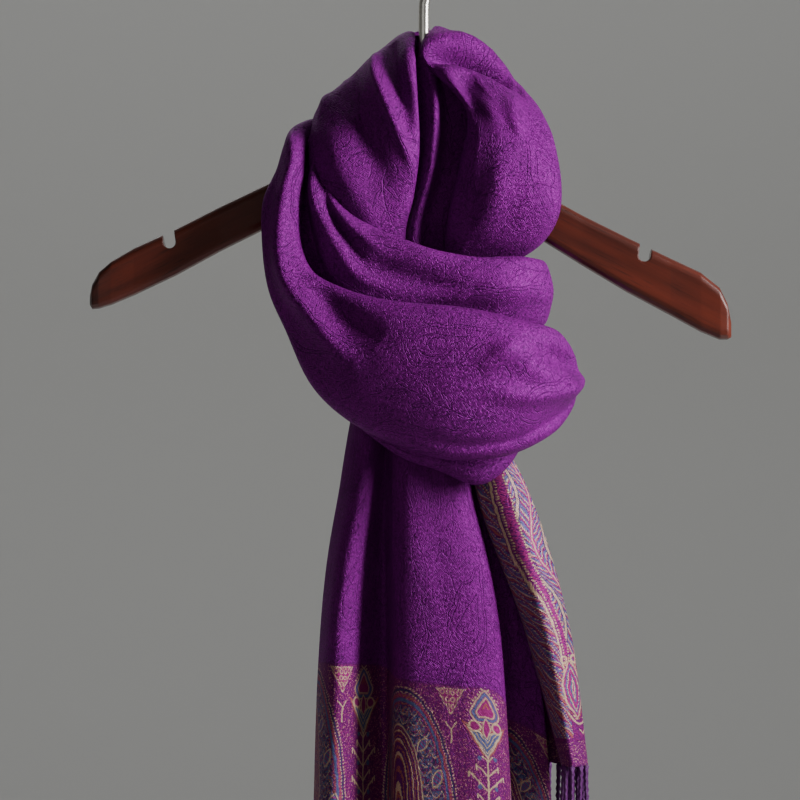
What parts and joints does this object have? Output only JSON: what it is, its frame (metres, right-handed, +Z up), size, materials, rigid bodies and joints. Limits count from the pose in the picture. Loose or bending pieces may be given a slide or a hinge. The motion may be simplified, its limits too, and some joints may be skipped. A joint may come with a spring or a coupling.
{
  "type": "scarf on a coat hanger",
  "caption": "Woven paisley-bordered scarf with fringed ends, looped and knotted round the neck of a notched wooden coat hanger with a metal hook.",
  "frame": {"origin": "inside top of the hook's crook, where it rests on a rail", "axes": "+Z up, +X to the viewer's right, -Y towards the viewer, who faces the knot"},
  "size_m": [0.421, 0.1234, 0.8701],
  "materials": {
    "purple_cloth": "satin jacquard weave, purple",
    "paisley_cloth": "woven paisley border in magenta, blue, rust and cream on purple",
    "fringe_yarn": "twisted yarn, purple",
    "wood": "gloss lacquer, reddish brown",
    "metal": "polished"
  },
  "bodies": {
    "root": {"hanger_shoulders": "wood", "hanger_hook": "metal", "neck_loop": "purple_cloth", "inner_pleat": "purple_cloth", "upper_wrap": "purple_cloth", "lower_wrap": "purple_cloth", "under_turn": "purple_cloth", "front_tail": "purple_cloth", "side_tail": "paisley_cloth", "front_fringe": "fringe_yarn", "side_fringe": "fringe_yarn"}
  },
  "joints": []
}
